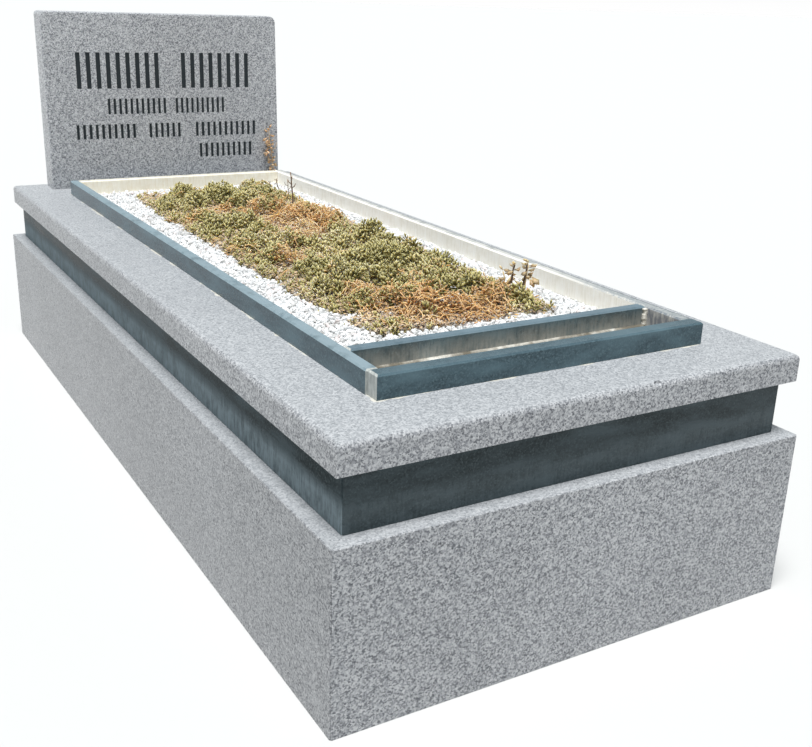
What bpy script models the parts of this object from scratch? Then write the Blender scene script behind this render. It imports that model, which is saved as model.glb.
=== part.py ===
"""Granite grave monument: a plinth of mitred slabs, a dark recessed band, a cover slab with a
planted bed inside a low dark kerb, a narrow trough at the foot and an upright headstone.

Metres, +Z up. The origin is on the ground, in the middle of the plinth. The foot of the grave
faces -Y and the headstone stands at +Y.
"""

import math

import bmesh
import bpy
from mathutils import noise

# Joints and edges
GAP = 0.0003                 # open joint between stones that touch
ARRIS = 0.0015               # eased edge of a polished slab
CORNER_ARRIS = 0.003         # eased upright corner of plinth and band

# Plinth: four slabs on edge, mitred at the corners
PLINTH_WIDTH = 0.930
PLINTH_LENGTH = 2.200
PLINTH_HEIGHT = 0.315
PLINTH_THICKNESS = 0.060

# Band: four dark strips on the plinth, set back from its face
BAND_SET_BACK = 0.031
BAND_THICKNESS = 0.025
BAND_HEIGHT = 0.100

# Cover: one slab with a rounded upper edge and an opening for the bed
COVER_SET_BACK = 0.012       # from the plinth's face
COVER_THICKNESS = 0.050
COVER_EDGE_RADIUS = 0.011
COVER_CORNER_RADIUS = 0.0015
EDGE_STEPS = 5               # flats in a rounded edge
CHIP_RADIUS = 0.006          # small bruise on the front upper edge
CHIP_X = 0.122

# Kerb: dark slabs on edge, standing on the cover
KERB_SIDE_MARGIN = 0.122     # bare cover beside the kerb
KERB_FOOT_MARGIN = 0.119     # bare cover in front of the kerb
KERB_HEAD_MARGIN = 0.211     # bare cover behind the kerb, where the headstone stands
KERB_HEIGHT = 0.040
KERB_FRONT_THICKNESS = 0.030
KERB_FRONT_SHORT = 0.0035    # by which the front slab stops short on the left
KERB_SIDE_THICKNESS = 0.023
KERB_ARRIS = 0.003           # eased upper edges

# Trough: the space between the kerb's front slab and the inner slab, on a mortar floor
TROUGH_WIDTH = 0.094
TROUGH_FLOOR = 0.004         # mortar's thickness
INNER_SLAB_THICKNESS = 0.022

# Headstone
HEAD_WIDTH = 0.718
HEAD_HEIGHT = 0.502
HEAD_THICKNESS = 0.080
HEAD_FOOT_SPREAD = 0.007     # its right edge stands that much further out at the foot
HEAD_BACK_MARGIN = 0.030     # to the cover's back edge
HEAD_EDGE_RADIUS = 0.004
HEAD_LEFT_CORNER = 0.010
HEAD_RIGHT_CORNER = 0.020
CORNER_STEPS = 5

# Cut strokes of the inscription
STROKE_DEPTH = 0.002
STROKE_FILL = 0.44           # stroke width as a share of the space from stroke to stroke

# Bed: earth inside the stones, marble chippings on it, low ground cover on them
GRAVEL_RISE = 0.003          # mean level above the cover's top
GRAVEL_LUMP = 0.004
GRAVEL_GRID = 0.060          # spacing of the modelled lumps
PLANT_HEIGHT = 0.044         # mean height of the ground cover
PLANT_EDGE_HEIGHT = 0.018
PLANT_LUMP = 0.015           # how far its clumps stand out
PLANT_CLUMP = 0.085          # across one clump
PLANT_GRID = 0.023
PLANT_LEFT_MARGIN = 0.110    # bare chippings beside the ground cover
PLANT_RIGHT_MARGIN = 0.080
PLANT_FOOT_MARGIN = 0.123
PLANT_HEAD_MARGIN = 0.100
PLANT_END_TAPER = 0.10       # how much narrower the planting gets at its ends
PLANT_WAVE = 0.022           # how far its edge wanders

# Levels and outlines worked out from the sizes above
BAND_Z = PLINTH_HEIGHT + GAP
COVER_Z = BAND_Z + BAND_HEIGHT + GAP
COVER_TOP = COVER_Z + COVER_THICKNESS
KERB_Z = COVER_TOP + GAP
KERB_TOP = KERB_Z + KERB_HEIGHT
GRAVEL_TOP = COVER_TOP + GRAVEL_RISE

COVER_HALF_WIDTH = PLINTH_WIDTH / 2 - COVER_SET_BACK
COVER_HALF_LENGTH = PLINTH_LENGTH / 2 - COVER_SET_BACK
KERB_HALF_WIDTH = COVER_HALF_WIDTH - KERB_SIDE_MARGIN
KERB_FOOT_Y = -COVER_HALF_LENGTH + KERB_FOOT_MARGIN
KERB_HEAD_Y = COVER_HALF_LENGTH - KERB_HEAD_MARGIN
BED_HALF_WIDTH = KERB_HALF_WIDTH - KERB_SIDE_THICKNESS
TROUGH_Y = KERB_FOOT_Y + KERB_FRONT_THICKNESS
INNER_SLAB_Y = TROUGH_Y + TROUGH_WIDTH
BED_FOOT_Y = INNER_SLAB_Y + INNER_SLAB_THICKNESS
BED_HEAD_Y = KERB_HEAD_Y - KERB_SIDE_THICKNESS
HEAD_BACK_Y = COVER_HALF_LENGTH - HEAD_BACK_MARGIN
HEAD_FRONT_Y = HEAD_BACK_Y - HEAD_THICKNESS
PLANT_LEFT_X = -BED_HALF_WIDTH + PLANT_LEFT_MARGIN
PLANT_RIGHT_X = BED_HALF_WIDTH - PLANT_RIGHT_MARGIN
PLANT_FOOT_Y = BED_FOOT_Y + PLANT_FOOT_MARGIN
PLANT_HEAD_Y = BED_HEAD_Y - PLANT_HEAD_MARGIN


def clear_scene():
    for thing in list(bpy.data.objects):
        bpy.data.objects.remove(thing, do_unlink=True)


def material(name, colour, roughness):
    mat = bpy.data.materials.new(name)
    mat.use_nodes = True
    shader = mat.node_tree.nodes["Principled BSDF"]
    shader.inputs["Base Color"].default_value = (*colour, 1.0)
    shader.inputs["Roughness"].default_value = roughness
    shader.inputs["Metallic"].default_value = 0.0
    mat.diffuse_color = (*colour, 1.0)
    return mat


def add_object(name, bm, mat, turn=0.0):
    bmesh.ops.recalc_face_normals(bm, faces=bm.faces)
    mesh = bpy.data.meshes.new(name)
    bm.to_mesh(mesh)
    bm.free()
    mesh.materials.append(mat)
    thing = bpy.data.objects.new(name, mesh)
    thing.rotation_euler = (0.0, 0.0, turn)
    bpy.context.scene.collection.objects.link(thing)
    return thing


def cut(thing, cutter):
    """Take the cutter's shape out of the object."""
    cutter.hide_render = True
    cutter.display_type = "WIRE"
    change = thing.modifiers.new("cut_" + cutter.name, "BOOLEAN")
    change.operation = "DIFFERENCE"
    change.solver = "EXACT"
    change.object = cutter


def loft(rings):
    """Closed body through rings that have the same number of points, capped at both ends."""
    bm = bmesh.new()
    loops = [[bm.verts.new(point) for point in ring] for ring in rings]
    for lower, upper in zip(loops, loops[1:]):
        for i in range(len(lower)):
            j = (i + 1) % len(lower)
            bm.faces.new((lower[i], lower[j], upper[j], upper[i]))
    bm.faces.new(reversed(loops[0]))
    bm.faces.new(loops[-1])
    return bm


def block(x0, x1, y0, y1, z0, z1):
    outline = ((x0, y0), (x1, y0), (x1, y1), (x0, y1))
    return loft([[(x, y, z) for x, y in outline] for z in (z0, z1)])


def ease_top(bm, width):
    """Chamfer the upper edges of a slab."""
    top = max(v.co.z for v in bm.verts)
    edges = [e for e in bm.edges if all(v.co.z > top - width / 2 for v in e.verts)]
    bmesh.ops.bevel(bm, geom=edges, offset=width, segments=1, profile=0.5, affect="EDGES")


def arc(cx, cy, radius, start, steps):
    """Points of a quarter circle, from the start angle in degrees."""
    angles = [math.radians(start + 90.0 * i / steps) for i in range(steps + 1)]
    return [(cx + radius * math.cos(a), cy + radius * math.sin(a)) for a in angles]


def mitred_strip(half_run, half_depth, thickness, z0, z1):
    """Slab on edge along X, at -half_depth, with mitred ends and eased outer edges."""
    shift = GAP / math.sqrt(2.0)
    outer = -half_depth
    inner = outer + thickness
    nose = half_run - (CORNER_ARRIS + shift) / 2
    right = [(half_run - CORNER_ARRIS, outer),
             (nose, outer + (CORNER_ARRIS - shift) / 2),
             (half_run - thickness - shift, inner)]
    outline = right + [(-x, y) for x, y in reversed(right)]
    bm = loft([[(x, y, z) for x, y in outline] for z in (z0, z1)])
    edges = [e for e in bm.edges
             if all(v.co.z > z1 - ARRIS / 2 and v.co.y < outer + ARRIS / 2 for v in e.verts)]
    bmesh.ops.bevel(bm, geom=edges, offset=ARRIS, segments=1, profile=0.5, affect="EDGES")
    return bm


def mitred_frame(prefix, half_width, half_length, thickness, z0, z1, mat):
    """Four strips that meet at 45 degrees round the grave."""
    sides = (("front", half_width, half_length, 0.0),
             ("right", half_length, half_width, 0.5),
             ("back", half_width, half_length, 1.0),
             ("left", half_length, half_width, 1.5))
    for side, half_run, half_depth, turn in sides:
        strip = mitred_strip(half_run, half_depth, thickness, z0, z1)
        add_object(prefix + "_" + side, strip, mat, turn * math.pi)


def rounded_rectangle(half_x, half_y, radius, z):
    x, y = half_x - radius, half_y - radius
    points = []
    for cx, cy, start in ((x, y, 0), (-x, y, 90), (-x, -y, 180), (x, -y, 270)):
        points += arc(cx, cy, radius, start, 2)
    return [(px, py, z) for px, py in points]


def cover_slab(mat):
    """One slab: crisp lower edge, rounded upper edge, opening over the bed, one small chip."""
    rings = [rounded_rectangle(COVER_HALF_WIDTH, COVER_HALF_LENGTH, COVER_CORNER_RADIUS, COVER_Z)]
    smallest = COVER_CORNER_RADIUS / 3
    for i in range(EDGE_STEPS + 1):
        angle = math.pi / 2 * i / EDGE_STEPS
        inset = COVER_EDGE_RADIUS * (1.0 - math.cos(angle))
        z = COVER_TOP - COVER_EDGE_RADIUS * (1.0 - math.sin(angle))
        rings.append(rounded_rectangle(COVER_HALF_WIDTH - inset, COVER_HALF_LENGTH - inset,
                                       max(COVER_CORNER_RADIUS - inset, smallest), z))
    slab = add_object("cover_slab", loft(rings), mat)

    past = COVER_THICKNESS
    opening = block(-BED_HALF_WIDTH, BED_HALF_WIDTH, BED_FOOT_Y, BED_HEAD_Y,
                    COVER_Z - past, COVER_TOP + past)
    cut(slab, add_object("opening_cutter", opening, mat))

    chip = bmesh.new()
    bmesh.ops.create_icosphere(chip, subdivisions=1, radius=CHIP_RADIUS)
    for v in chip.verts:
        v.co.x = 1.6 * v.co.x + CHIP_X
        v.co.y += -COVER_HALF_LENGTH + COVER_EDGE_RADIUS / 4
        v.co.z += COVER_TOP - COVER_EDGE_RADIUS / 4
    cut(slab, add_object("chip_cutter", chip, mat))


def kerb(mat):
    """Front slab across the whole width; the others fit between and behind it."""
    w, inner = KERB_HALF_WIDTH, BED_HALF_WIDTH
    slabs = {
        "kerb_front": (-w + KERB_FRONT_SHORT, w, KERB_FOOT_Y, TROUGH_Y),
        "kerb_left": (-w, -inner, TROUGH_Y + GAP, KERB_HEAD_Y),
        "kerb_right": (inner, w, TROUGH_Y + GAP, KERB_HEAD_Y),
        "kerb_head": (-inner + GAP, inner - GAP, BED_HEAD_Y, KERB_HEAD_Y),
        "kerb_inner": (-inner + GAP, inner - GAP, INNER_SLAB_Y, BED_FOOT_Y),
    }
    for name, sides in slabs.items():
        bm = block(*sides, KERB_Z, KERB_TOP)
        ease_top(bm, KERB_ARRIS)
        add_object(name, bm, mat)


def trough_floor(mat):
    bm = block(-BED_HALF_WIDTH + GAP, BED_HALF_WIDTH - GAP, TROUGH_Y + GAP, INNER_SLAB_Y - GAP,
               KERB_Z, KERB_Z + TROUGH_FLOOR)
    add_object("trough_floor", bm, mat)


def head_outline(inset, y):
    """Headstone's outline, with two rounded upper corners, drawn in by the inset."""
    half = HEAD_WIDTH / 2 - inset
    top = KERB_Z + HEAD_HEIGHT - inset
    right, left = HEAD_RIGHT_CORNER - inset, HEAD_LEFT_CORNER - inset
    points = [(-half, KERB_Z), (half + HEAD_FOOT_SPREAD, KERB_Z)]
    points += arc(half - right, top - right, right, 0, CORNER_STEPS)
    points += arc(-half + left, top - left, left, 90, CORNER_STEPS)
    return [(x, y, z) for x, z in points]


def inscription(mat):
    """Rows of plain upright strokes. Places are shares of the headstone's width and height."""
    rows = (
        # middle of the row, stroke height, groups as (start, end, strokes)
        (0.676, 0.205, ((-0.385, -0.020, 9), (0.055, 0.380, 8))),
        (0.470, 0.090, ((-0.260, 0.000, 11), (0.030, 0.260, 10))),
        (0.325, 0.084, ((-0.395, -0.135, 10), (-0.090, 0.060, 6), (0.115, 0.405, 11))),
        (0.195, 0.084, ((0.130, 0.385, 10),)),
    )
    bm = bmesh.new()
    for middle, height, groups in rows:
        for start, end, strokes in groups:
            pitch = (end - start) * HEAD_WIDTH / strokes
            for i in range(strokes):
                x = start * HEAD_WIDTH + (i + 0.5) * pitch
                z = KERB_Z + middle * HEAD_HEIGHT
                made = bmesh.ops.create_cube(bm, size=1.0)
                for v in made["verts"]:
                    v.co.x = x + v.co.x * pitch * STROKE_FILL
                    v.co.y = HEAD_FRONT_Y + v.co.y * 2 * STROKE_DEPTH
                    v.co.z = z + v.co.z * height * HEAD_HEIGHT
    return add_object("inscription_cutter", bm, mat)


def headstone(mat):
    rings = []
    steps = [math.pi / 2 * i / 3 for i in range(4)]
    for angle in steps:
        drop = HEAD_EDGE_RADIUS * (1.0 - math.cos(angle))
        rings.append(head_outline(HEAD_EDGE_RADIUS * (1.0 - math.sin(angle)), HEAD_FRONT_Y + drop))
    rings += [[(x, HEAD_FRONT_Y + HEAD_BACK_Y - y, z) for x, y, z in ring]
              for ring in reversed(rings)]
    stone = add_object("headstone", loft(rings), mat)
    cut(stone, inscription(mat))


def earth_fill(mat):
    """Earth that fills the inside of the plinth and the band and carries the bed."""
    half_width = PLINTH_WIDTH / 2 - PLINTH_THICKNESS - GAP
    half_length = PLINTH_LENGTH / 2 - PLINTH_THICKNESS - GAP
    bm = block(-half_width, half_width, -half_length, half_length, 0.0, COVER_Z - GAP)
    add_object("earth_fill", bm, mat)


def height_field(xs, ys, place, floor):
    """Closed body with a gridded top: place(u, v) gives a point of the top for grid shares."""
    bm = bmesh.new()
    top = [[bm.verts.new(place(x, y)) for x in xs] for y in ys]
    for near, far in zip(top, top[1:]):
        for i in range(len(xs) - 1):
            bm.faces.new((near[i], near[i + 1], far[i + 1]))
            bm.faces.new((near[i], far[i + 1], far[i]))
    rim = list(top[0])
    rim += [row[-1] for row in top[1:]]
    rim += list(reversed(top[-1]))[1:]
    rim += [row[0] for row in reversed(top[1:-1])]
    base = [bm.verts.new((v.co.x, v.co.y, floor)) for v in rim]
    for i in range(len(rim)):
        j = (i + 1) % len(rim)
        bm.faces.new((base[i], base[j], rim[j], rim[i]))
    bm.faces.new(list(reversed(base)))
    return bm


def shares(length, spacing):
    count = max(2, round(length / spacing))
    return [2.0 * i / count - 1.0 for i in range(count + 1)]


def planting_point(u, v, z):
    """Point of the planting: u and v run from -1 to 1 across and along it."""
    half_width = (PLANT_RIGHT_X - PLANT_LEFT_X) / 2
    half_length = (PLANT_HEAD_Y - PLANT_FOOT_Y) / 2
    x = PLANT_LEFT_X + half_width + u * half_width * (1.0 - PLANT_END_TAPER * abs(v) ** 5)
    y = PLANT_FOOT_Y + half_length + v * half_length
    x += PLANT_WAVE * abs(u) * noise.noise((3.0 * u, y / PLANT_CLUMP, 3.0))
    y += PLANT_WAVE * abs(v) ** 3 * noise.noise((x / PLANT_CLUMP, 3.0 * v, 9.0))
    return (x, y, z)


def gravel_bed(mat):
    """Layer of chippings in the cover's opening; it is level under the planting."""
    half_width = BED_HALF_WIDTH - GAP
    y0, y1 = BED_FOOT_Y + GAP, BED_HEAD_Y - GAP

    def place(u, v):
        x = u * half_width
        y = (y0 + y1) / 2 + v * (y1 - y0) / 2
        outside = max(PLANT_LEFT_X - x, x - PLANT_RIGHT_X, PLANT_FOOT_Y - y, y - PLANT_HEAD_Y)
        free = min(1.0, max(0.0, outside / GRAVEL_GRID))
        lump = GRAVEL_LUMP * noise.noise((x / GRAVEL_GRID, y / GRAVEL_GRID, 7.0))
        return (x, y, GRAVEL_TOP + free * lump)

    bm = height_field(shares(2 * half_width, GRAVEL_GRID / 2), shares(y1 - y0, GRAVEL_GRID),
                      place, COVER_Z)
    add_object("gravel_bed", bm, mat)


def ground_cover(mat):
    """Low mat of succulents that stands on the chippings, thinning out to its edge."""
    base = GRAVEL_TOP + GAP + GRAVEL_LUMP / 2

    def place(u, v):
        x, y, z = planting_point(u, v, base)
        rim = min(1.0, 4.0 * (1.0 - max(abs(u), abs(v) ** 3)))
        centre_distance = noise.voronoi((x / PLANT_CLUMP, y / PLANT_CLUMP, 1.0))[0][0]
        dome = 1.0 - 3.0 * centre_distance ** 2
        drift = noise.noise((x / PLANT_CLUMP / 3, y / PLANT_CLUMP / 3, 5.0))
        height = PLANT_EDGE_HEIGHT + rim * (PLANT_HEIGHT - PLANT_EDGE_HEIGHT)
        height += (0.4 + 0.6 * rim) * PLANT_LUMP * (dome + drift)
        return (x, y, z + max(height, PLANT_EDGE_HEIGHT / 2))

    bm = height_field(shares(PLANT_RIGHT_X - PLANT_LEFT_X, PLANT_GRID),
                      shares(PLANT_HEAD_Y - PLANT_FOOT_Y, PLANT_GRID), place, base)
    add_object("ground_cover", bm, mat)


clear_scene()
grey_granite = material("grey_granite", (0.36, 0.37, 0.39), 0.35)
dark_granite = material("dark_granite", (0.045, 0.060, 0.066), 0.12)
mortar = material("lime_mortar", (0.66, 0.62, 0.52), 0.90)
earth = material("earth", (0.10, 0.07, 0.045), 0.95)
marble = material("marble_chippings", (0.80, 0.80, 0.78), 0.60)
leaves = material("succulent_leaves", (0.22, 0.24, 0.09), 0.60)

mitred_frame("plinth", PLINTH_WIDTH / 2, PLINTH_LENGTH / 2, PLINTH_THICKNESS,
             0.0, PLINTH_HEIGHT, grey_granite)
mitred_frame("band", PLINTH_WIDTH / 2 - BAND_SET_BACK, PLINTH_LENGTH / 2 - BAND_SET_BACK,
             BAND_THICKNESS, BAND_Z, BAND_Z + BAND_HEIGHT, dark_granite)
cover_slab(grey_granite)
kerb(dark_granite)
trough_floor(mortar)
headstone(grey_granite)
earth_fill(earth)
gravel_bed(marble)
ground_cover(leaves)
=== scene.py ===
"""Granite grave monument with a planted bed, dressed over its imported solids.

Metres, +Z up. The foot of the grave faces -Y and the headstone stands at +Y.
"""

import math

import bmesh
import bpy
import numpy as np
from mathutils import Matrix, Vector, noise
from mathutils.bvhtree import BVHTree


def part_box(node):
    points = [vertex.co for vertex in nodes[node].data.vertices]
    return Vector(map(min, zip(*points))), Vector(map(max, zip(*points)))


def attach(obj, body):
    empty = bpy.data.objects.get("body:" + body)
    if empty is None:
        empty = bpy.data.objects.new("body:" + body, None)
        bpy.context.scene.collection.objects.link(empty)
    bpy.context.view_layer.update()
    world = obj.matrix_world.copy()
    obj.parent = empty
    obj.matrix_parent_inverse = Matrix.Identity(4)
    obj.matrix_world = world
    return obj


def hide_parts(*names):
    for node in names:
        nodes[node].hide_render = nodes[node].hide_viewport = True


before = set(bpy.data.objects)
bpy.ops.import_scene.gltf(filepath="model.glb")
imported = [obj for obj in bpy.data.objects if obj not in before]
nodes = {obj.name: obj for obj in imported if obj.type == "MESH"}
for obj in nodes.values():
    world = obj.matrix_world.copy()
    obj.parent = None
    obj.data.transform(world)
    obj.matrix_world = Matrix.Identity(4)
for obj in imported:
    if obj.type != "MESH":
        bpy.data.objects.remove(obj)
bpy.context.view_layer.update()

# Camera
# It stands off the left corner of the foot, about a metre up, and looks down along the grave
# towards the headstone.
CAMERA_PLACE = (-1.0315, -2.2329, 1.0238)
CAMERA_AZIMUTH = -30.787     # degrees round from looking along +Y
CAMERA_ELEVATION = 19.538    # degrees looking down
CAMERA_ROLL = 1.927          # degrees
CAMERA_LENS = 46.39          # mm, on a frame 36 mm wide

camera = bpy.data.objects.new("camera", bpy.data.cameras.new("camera"))
camera.data.lens = CAMERA_LENS
aim = Matrix.Rotation(math.radians(CAMERA_AZIMUTH), 4, "Z")
aim = aim @ Matrix.Rotation(math.radians(90.0 - CAMERA_ELEVATION), 4, "X")
aim = aim @ Matrix.Rotation(math.radians(CAMERA_ROLL), 4, "Z")
camera.matrix_world = Matrix.Translation(CAMERA_PLACE) @ aim
bpy.context.scene.collection.objects.link(camera)
bpy.context.scene.camera = camera

# Floor and light
# A plain white floor under a bright overcast sky. One wide soft lamp stands for the light part
# of the sky, high up and a little towards the foot and the left.
FLOOR_HALF = 400.0
FLOOR_DROP = 0.0005          # the stones stand just clear of it
SKY_STRENGTH = 1.0
LAMP_STRENGTH = 4.6
LAMP_SOFTNESS = 24.0         # degrees across
LAMP_FROM = (-0.18, -0.20, 1.0)


def linear(colour):
    """Linear RGBA of an sRGB colour such as "#8A8C8E"."""
    shares = [int(colour[i:i + 2], 16) / 255.0 for i in (1, 3, 5)]
    low = 0.04045
    return (*(s / 12.92 if s <= low else ((s + 0.055) / 1.055) ** 2.4 for s in shares), 1.0)


def node(tree, kind, inputs=None, stops=None, **settings):
    """Adds a shader node and gives its outputs; inputs holds values and other nodes' outputs."""
    made = tree.nodes.new("ShaderNode" + kind)
    for name, value in settings.items():
        setattr(made, name, value)
    for socket, value in (inputs or {}).items():
        if isinstance(value, bpy.types.NodeSocket):
            tree.links.new(value, made.inputs[socket])
        else:
            made.inputs[socket].default_value = value
    if stops:
        ramp = made.color_ramp.elements
        while len(ramp) < len(stops):
            ramp.new(1.0)
        for stop, (place, colour) in zip(ramp, stops):
            stop.position = place
            stop.color = linear(colour)
    return made.outputs


def finish(name):
    """A material with an empty node tree."""
    made = bpy.data.materials.new(name)
    made.use_nodes = True
    made.node_tree.nodes.clear()
    return made, made.node_tree


sky = bpy.data.worlds.new("overcast_sky")
sky.use_nodes = True
tree = sky.node_tree
tree.nodes.clear()
height = node(tree, "SeparateXYZ", {0: node(tree, "TexCoord")["Generated"]})["Z"]
tone = node(tree, "ValToRGB", {"Fac": height},
            stops=((0.0, "#FFFFFF"), (0.06, "#F4F6F7"), (0.25, "#8F989B"), (1.0, "#7F898D")))
glow = node(tree, "Background", {"Color": tone["Color"], "Strength": SKY_STRENGTH})
node(tree, "OutputWorld", {"Surface": glow["Background"]})
bpy.context.scene.world = sky

lamp = bpy.data.objects.new("soft_lamp", bpy.data.lights.new("soft_lamp", "SUN"))
lamp.data.energy = LAMP_STRENGTH
lamp.data.angle = math.radians(LAMP_SOFTNESS)
lamp.rotation_euler = Vector(LAMP_FROM).to_track_quat("Z", "Y").to_euler()
bpy.context.scene.collection.objects.link(lamp)

floor_mesh = bpy.data.meshes.new("floor")
floor_corners = [(x * FLOOR_HALF, y * FLOOR_HALF, -FLOOR_DROP)
                 for x, y in ((-1, -1), (1, -1), (1, 1), (-1, 1))]
floor_mesh.from_pydata(floor_corners, [], [(0, 1, 2, 3)])
floor = bpy.data.objects.new("floor", floor_mesh)
bpy.context.scene.collection.objects.link(floor)
white_paint, tree = finish("matt_white_paint")
shader = node(tree, "BsdfPrincipled", {"Base Color": linear("#CACAC9"), "Roughness": 1.0,
                                       "Specular IOR Level": 0.0})
node(tree, "OutputMaterial", {"Surface": shader["BSDF"]})
floor_mesh.materials.append(white_paint)
bpy.context.scene.view_settings.view_transform = "Standard"

# Plinth
# Four slabs of grey granite stood on edge and mitred at the corners, 60 mm thick, sawn and
# polished. White feldspar, grey quartz and black mica lie side by side, so it sparkles a
# little and looks even from far off. The faces that look up are mixed towards pale grey: partly
# dust that dulls them, partly painted light for the brighter light on tops.
GRAIN = 0.0027               # across one grain; drawn a little coarser than real, to show
FELDSPAR = 0.0052
MICA = 0.0024
GRAIN_WOBBLE = 0.0016        # how far the grains' edges leave straight lines
CLOUD = 0.35                 # across one paler or darker cloud in the stone
TOP_DUST_AND_LIGHT = 0.38              # how far the dust and the painted top light hide the stone
GREY_IOR = 1.27              # worn polish throws back less than fresh polish
BODY_SHADE = 0.99            # this stone's tone; the headstone is painted paler than it, as light
LEFT_SLAB_PAINTED_SHADE = 0.85       # painted shade: the left slab is darkened to stand in for the shade on the left side


def speckle(tree, shade):
    """Colour, roughness and height of polished grey granite."""
    coords = node(tree, "TexCoord")
    place = coords["Object"]
    drift = node(tree, "TexNoise", {"Vector": place, "Scale": 0.7 / GRAIN, "Detail": 2.0})
    drift = node(tree, "VectorMath", {0: drift["Color"], 1: (0.5, 0.5, 0.5)}, operation="SUBTRACT")
    bent = node(tree, "VectorMath", {0: drift["Vector"], 1: (GRAIN_WOBBLE,) * 3, 2: place},
                operation="MULTIPLY_ADD")["Vector"]
    quartz = node(tree, "TexVoronoi", {"Vector": bent, "Scale": 1.0 / GRAIN})["Color"]
    quartz = node(tree, "SeparateColor", {0: quartz})
    tone = node(tree, "ValToRGB", {"Fac": quartz["Red"]},
                stops=((0.0, "#64666B"), (0.16, "#787A7F"), (0.34, "#8F9195"), (0.62, "#A5A7AA"),
                       (1.0, "#BEBFC1")))["Color"]
    white = node(tree, "TexVoronoi", {"Vector": bent, "Scale": 1.0 / FELDSPAR})["Color"]
    white = node(tree, "SeparateColor", {0: white})["Green"]
    white = node(tree, "MapRange", {"Value": white, "From Min": 0.55, "From Max": 1.0,
                                    "To Max": 0.30})["Result"]
    tone = node(tree, "Mix", {0: white, 6: tone, 7: linear("#CBCCCE")}, data_type="RGBA")[2]
    black = node(tree, "TexVoronoi", {"Vector": bent, "Scale": 1.0 / MICA})["Color"]
    black = node(tree, "SeparateColor", {0: black})["Blue"]
    black = node(tree, "MapRange", {"Value": black, "From Min": 0.82, "From Max": 0.90,
                                    "To Max": 0.55})["Result"]
    tone = node(tree, "Mix", {0: black, 6: tone, 7: linear("#4A4C51")}, data_type="RGBA")[2]
    cloud = node(tree, "TexNoise", {"Vector": place, "Scale": 1.0 / CLOUD, "Detail": 3.0})["Fac"]
    cloud = node(tree, "MapRange", {"Value": cloud, "From Min": 0.3, "From Max": 0.7,
                                    "To Min": 0.94 * shade, "To Max": 1.04 * shade})["Result"]
    tone = node(tree, "VectorMath", {0: tone, "Scale": cloud}, operation="SCALE")["Vector"]
    # Painted light: faces that look up are made paler, partly as pale dust and partly to stand in for
    # the brighter light falling on tops.
    dust_and_top_light = node(tree, "SeparateXYZ", {0: coords["Normal"]})["Z"]
    dust_and_top_light = node(tree, "MapRange", {"Value": dust_and_top_light, "From Min": 0.5, "From Max": 0.95,
                                   "To Max": TOP_DUST_AND_LIGHT})["Result"]
    tone = node(tree, "Mix", {0: dust_and_top_light, 6: tone, 7: linear("#B4B8BB")}, data_type="RGBA")[2]
    rough = node(tree, "MapRange", {"Value": quartz["Green"], "To Min": 0.22, "To Max": 0.42})
    return tone, rough["Result"], quartz["Red"]


def grey_granite(name, shade, change=None):
    """Polished grey granite; change may repaint part of it before it is joined up."""
    made, tree = finish(name)
    tone, rough, grain = speckle(tree, shade)
    if change:
        tone, rough = change(tree, tone, rough)
    relief = node(tree, "Bump", {"Height": grain, "Strength": 0.08, "Distance": 0.0004})
    shader = node(tree, "BsdfPrincipled", {"Base Color": tone, "Roughness": rough, "IOR": GREY_IOR,
                                           "Normal": relief["Normal"]})
    node(tree, "OutputMaterial", {"Surface": shader["BSDF"]})
    return made


def dress(names, material):
    """Gives imported solids their finish."""
    for name in names:
        for holder in nodes[name].material_slots:
            holder.material = material


dress(["plinth_front", "plinth_back", "plinth_right"],
      grey_granite("polished_grey_granite", BODY_SHADE))
# Painted shade: the left slab's granite is darkened to stand in for the shade on the left side.
dress(["plinth_left"], grey_granite("polished_grey_granite_with_painted_shade", LEFT_SLAB_PAINTED_SHADE))

# Band
# Four strips of near-black granite on the plinth, set back behind its face. The polish picks up
# the ledge below and the edge of the cover above. A painted reflection of the lit ledge greys
# the lower half, most of all on the long sides.
CRYSTAL = 0.0026             # across one crystal of the dark stone
SMEAR = 0.12                 # across one patch of duller polish
GRIME = 0.030                # across one patch of dirt
SMUDGE_STRETCH = 3.5         # how much longer than high a smudge on a face is
STREAK = 0.0045              # across one run of dirty water down a face
STREAK_STRETCH = 6.0
FACING = 0.65                # how squarely a face looks to a side to count as that side
LEFT, RIGHT, FOOT, HEAD, UP = (-1, 0, 0), (1, 0, 0), (0, -1, 0), (0, 1, 0), (0, 0, 1)
BAND_TONES = ("#20292C", "#2A3437", "#333D40", "#404B4E")
BAND_SMUDGE = "#49555A"
BAND_PAINTED_REFLECTION = "#7C898F"      # painted reflection of the lit ledge, on the band's lower half
REFLECTION_RISE = (0.60, 0.36)   # shares of the band's height where the painted reflection starts and is full
BAND_POLISH = (0.16, 0.30)
BAND_IOR = 1.26              # worn polish; the long sides, which carry the most painted reflection, are duller still
BAND_SIDE_IOR = 1.07


def looks_to(tree, facing, side):
    """1 on the faces that look to the side, 0 elsewhere."""
    look = node(tree, "VectorMath", {0: facing, 1: side}, operation="DOT_PRODUCT")["Value"]
    return node(tree, "Math", {0: look, 1: FACING}, operation="GREATER_THAN")["Value"]


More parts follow.
